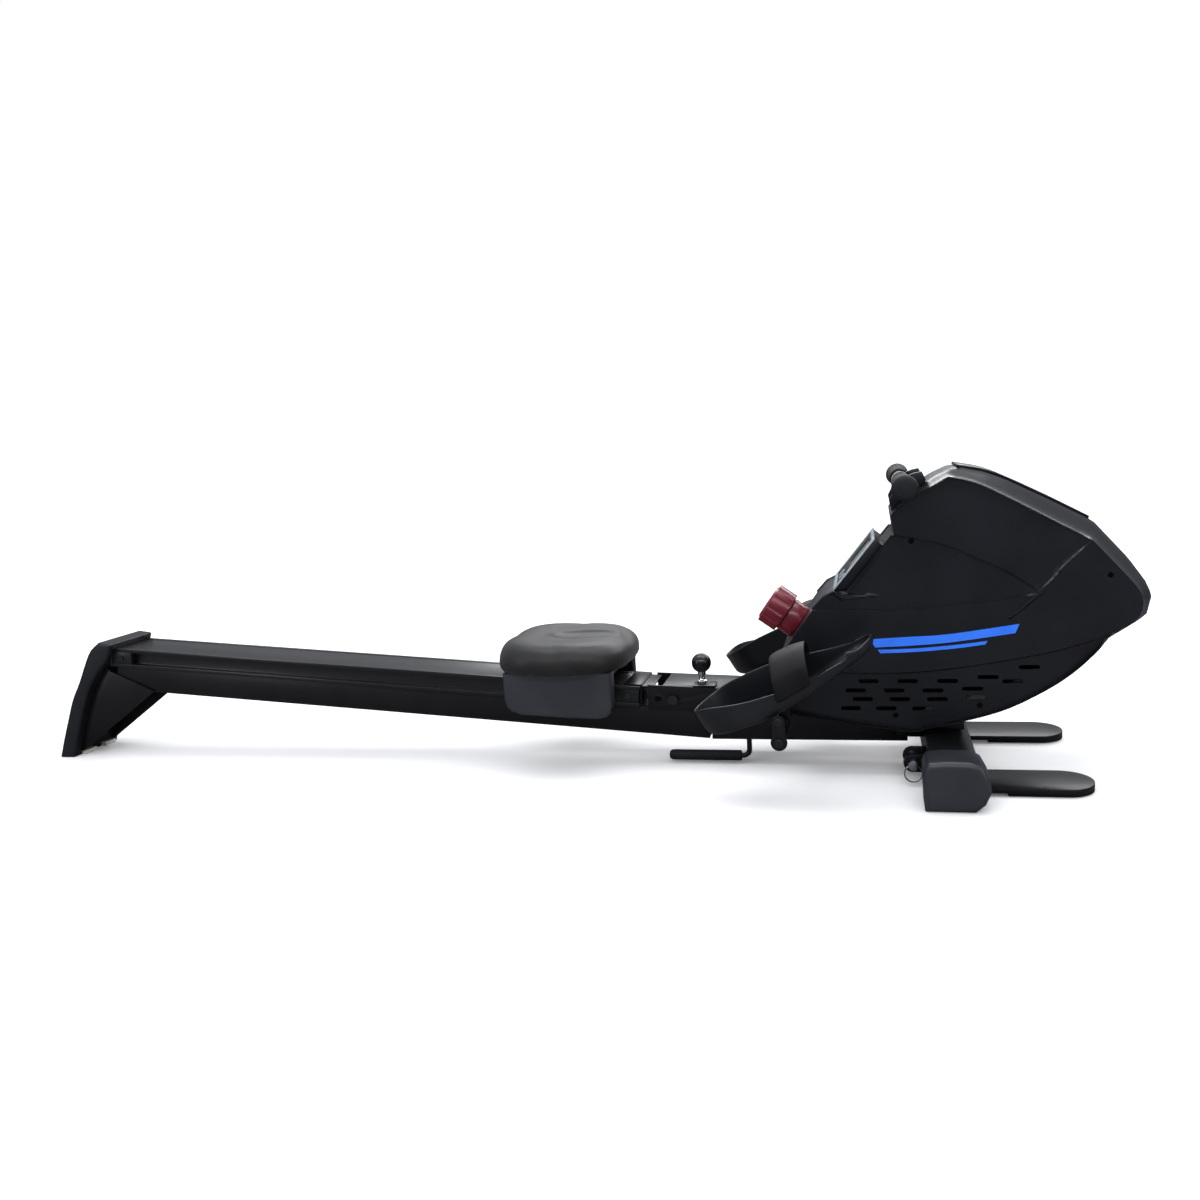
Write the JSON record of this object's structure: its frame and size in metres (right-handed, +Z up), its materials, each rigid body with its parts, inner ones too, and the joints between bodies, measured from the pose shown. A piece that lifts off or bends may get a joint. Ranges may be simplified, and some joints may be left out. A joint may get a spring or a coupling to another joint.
{
  "type": "rowing machine",
  "caption": "Folding magnetic rowing machine: sliding seat on a sloped rail, ribbed flywheel housing, tilting pedals with foot straps, pull handle, tension knob and console.",
  "frame": {"origin": "on the floor, under the middle of the object's box", "axes": "+X along the machine towards the flywheel housing, +Z up, -Y the side with the clamp lever"},
  "size_m": [2.088, 0.54, 0.5152],
  "materials": {
    "black_steel": "satin powder coat",
    "black_anodised": "black anodised",
    "black_abs": "fine moulded texture",
    "grey_plastic": "moulded satin",
    "foot_plastic": "matte blue grey",
    "seat_foam": "moulded polyurethane skin",
    "rubber": "matte",
    "white_rubber": "matte",
    "foam_grip": "closed cell foam",
    "maroon_plastic": "gloss moulded",
    "black_ball": "phenolic gloss",
    "chrome": "polished",
    "bright_steel": "turned",
    "cast_iron": "machined",
    "silver_plastic": "silver painted",
    "screen": "clear window over a display",
    "webbing": "woven nylon",
    "black_bolt": "black oxide",
    "dark_plastic": "satin"
  },
  "bodies": {
    "frame": {"front_beam": "black_steel", "hinge_bracket": "black_steel", "hinge_pin": "chrome", "mast_plates": "black_steel", "stabiliser_tube": "black_steel", "stabiliser_end_caps": "grey_plastic", "stabiliser_saddle": "black_steel", "floor_plates": "black_steel", "floor_plate_pads": "rubber", "pin_lugs": "black_steel", "housing_left": "black_abs", "housing_right": "black_abs", "top_cover": "black_abs", "console_bezel": "silver_plastic", "console_case": "dark_plastic", "console_screen": "screen", "handle_cradle": "black_abs", "knob_collar": "maroon_plastic", "housing_screws": "black_bolt", "wheel_axles": "bright_steel", "pedal_crossbar": "black_steel", "pedal_links": "black_steel", "pedal_bolts": "chrome", "lock_base": "black_steel", "drive_belt": "rubber", "strap_run": "webbing", "recoil_spring_case": "dark_plastic"},
    "rail": {"rail_track": "black_anodised", "rail_beam": "black_steel", "rail_lugs": "black_steel", "rail_end_plates": "dark_plastic", "stop_plate": "black_steel", "rear_foot_gusset": "black_steel", "rear_foot_strip": "foot_plastic", "rear_foot_pads": "white_rubber", "rail_screws": "bright_steel"},
    "seat": {"seat_pad": "seat_foam", "seat_carriage": "black_steel", "seat_skirt": "grey_plastic", "roller_axles": "bright_steel"},
    "front_rollers": {"front_rollers": "dark_plastic"},
    "rear_rollers": {"rear_rollers": "dark_plastic"},
    "tension_knob": {"tension_knob": "maroon_plastic"},
    "magnet_arm": {"magnet_arm": "bright_steel"},
    "flywheel": {"flywheel": "cast_iron"},
    "drive_pulley": {"drive_pulley": "dark_plastic"},
    "strap_spool": {"strap_spool": "dark_plastic"},
    "guide_roller": {"guide_roller": "dark_plastic"},
    "handle": {"handle_bar": "black_steel", "handle_grips": "foam_grip", "pull_strap": "webbing"},
    "pedal_left": {"pedal_left": "grey_plastic", "foot_strap_left": "rubber"},
    "pedal_right": {"pedal_right": "grey_plastic", "foot_strap_right": "rubber"},
    "lock_knob": {"lock_knob": "black_ball"},
    "clamp_lever": {"clamp_lever": "foam_grip"},
    "ring_pin": {"ring_pin": "chrome"},
    "button_left": {"console_button_left": "silver_plastic"},
    "button_right": {"console_button_right": "silver_plastic"}
  },
  "joints": [
    {"name": "rail_fold", "type": "hinge", "parent": "frame", "child": "rail", "pos_m": [0.261, 0, 0.12], "axis": [0, 1, 0], "range_deg": [0, 66]},
    {"name": "seat_slide", "type": "slide", "parent": "rail", "child": "seat", "axis": [0.9971, 0, -0.076], "range_m": [-0.78, 0]},
    {"name": "front_rollers_turn", "type": "hinge", "parent": "seat", "child": "front_rollers", "pos_m": [0.11522, 0, 0.13226], "axis": [0, 1, 0], "range_deg": [-4000, 200]},
    {"name": "rear_rollers_turn", "type": "hinge", "parent": "seat", "child": "rear_rollers", "pos_m": [0.00553, 0, 0.14062], "axis": [0, 1, 0], "range_deg": [-4000, 200]},
    {"name": "handle_pull", "type": "slide", "parent": "frame", "child": "handle", "axis": [0.9781, 0, -0.2079], "range_m": [-1.1, 0], "stiffness_N_per_m": 20, "springref_m": 0.5, "deforming": ["pull_strap"]},
    {"name": "spool_turn", "type": "hinge", "parent": "frame", "child": "strap_spool", "pos_m": [0.64, 0, 0.23], "axis": [0, 1, 0], "range_deg": [-2200, 20]},
    {"name": "guide_turn", "type": "hinge", "parent": "frame", "child": "guide_roller", "pos_m": [0.694, 0, 0.446], "axis": [0, 1, 0], "range_deg": [-5200, 20]},
    {"name": "flywheel_spin", "type": "hinge", "parent": "frame", "child": "flywheel", "pos_m": [0.84, 0, 0.295], "axis": [0, 1, 0], "continuous": true},
    {"name": "drive_pulley_spin", "type": "hinge", "parent": "frame", "child": "drive_pulley", "pos_m": [0.64, 0, 0.23], "axis": [0, 1, 0], "continuous": true},
    {"name": "tension_turn", "type": "hinge", "parent": "frame", "child": "tension_knob", "pos_m": [0.48, 0, 0.252], "axis": [-0.809, 0, 0.5878], "range_deg": [0, 270]},
    {"name": "magnet_arm_swing", "type": "hinge", "parent": "frame", "child": "magnet_arm", "pos_m": [0.76, -0.019, 0.196], "axis": [0, -1, 0], "range_deg": [0, 6.5]},
    {"name": "pedal_left_tilt", "type": "hinge", "parent": "frame", "child": "pedal_left", "pos_m": [0.465, -0.21, 0.14], "axis": [0, 1, 0], "range_deg": [-25, 20]},
    {"name": "pedal_right_tilt", "type": "hinge", "parent": "frame", "child": "pedal_right", "pos_m": [0.465, 0.21, 0.14], "axis": [0, 1, 0], "range_deg": [-25, 20]},
    {"name": "lock_knob_lift", "type": "slide", "parent": "frame", "child": "lock_knob", "axis": [0, 0, 1], "range_m": [0, 0.008], "stiffness_N_per_m": 400, "springref_m": -0.004},
    {"name": "clamp_lever_turn", "type": "hinge", "parent": "frame", "child": "clamp_lever", "pos_m": [0.393, -0.038, 0.014], "axis": [0, 0, 1], "range_deg": [-90, 90]},
    {"name": "ring_pin_pull", "type": "slide", "parent": "frame", "child": "ring_pin", "axis": [0, -1, 0], "range_m": [0, 0.05]},
    {"name": "button_left_press", "type": "slide", "parent": "frame", "child": "button_left", "axis": [0.7767, 0, -0.6299], "range_m": [0, 0.001], "stiffness_N_per_m": 500, "springref_m": -0.0005},
    {"name": "button_right_press", "type": "slide", "parent": "frame", "child": "button_right", "axis": [0.7767, 0, -0.6299], "range_m": [0, 0.001], "stiffness_N_per_m": 500, "springref_m": -0.0005}
  ],
  "couplings": [
    {"joint": "front_rollers_turn", "follows": "seat_slide", "rad_per_m": 87.719},
    {"joint": "rear_rollers_turn", "follows": "seat_slide", "rad_per_m": 87.719},
    {"joint": "spool_turn", "follows": "handle_pull", "rad_per_m": 32.573},
    {"joint": "guide_turn", "follows": "handle_pull", "rad_per_m": 78.74},
    {"joint": "drive_pulley_spin", "follows": "flywheel_spin", "ratio": 0.33282},
    {"joint": "magnet_arm_swing", "follows": "tension_turn", "ratio": 0.02222}
  ]
}
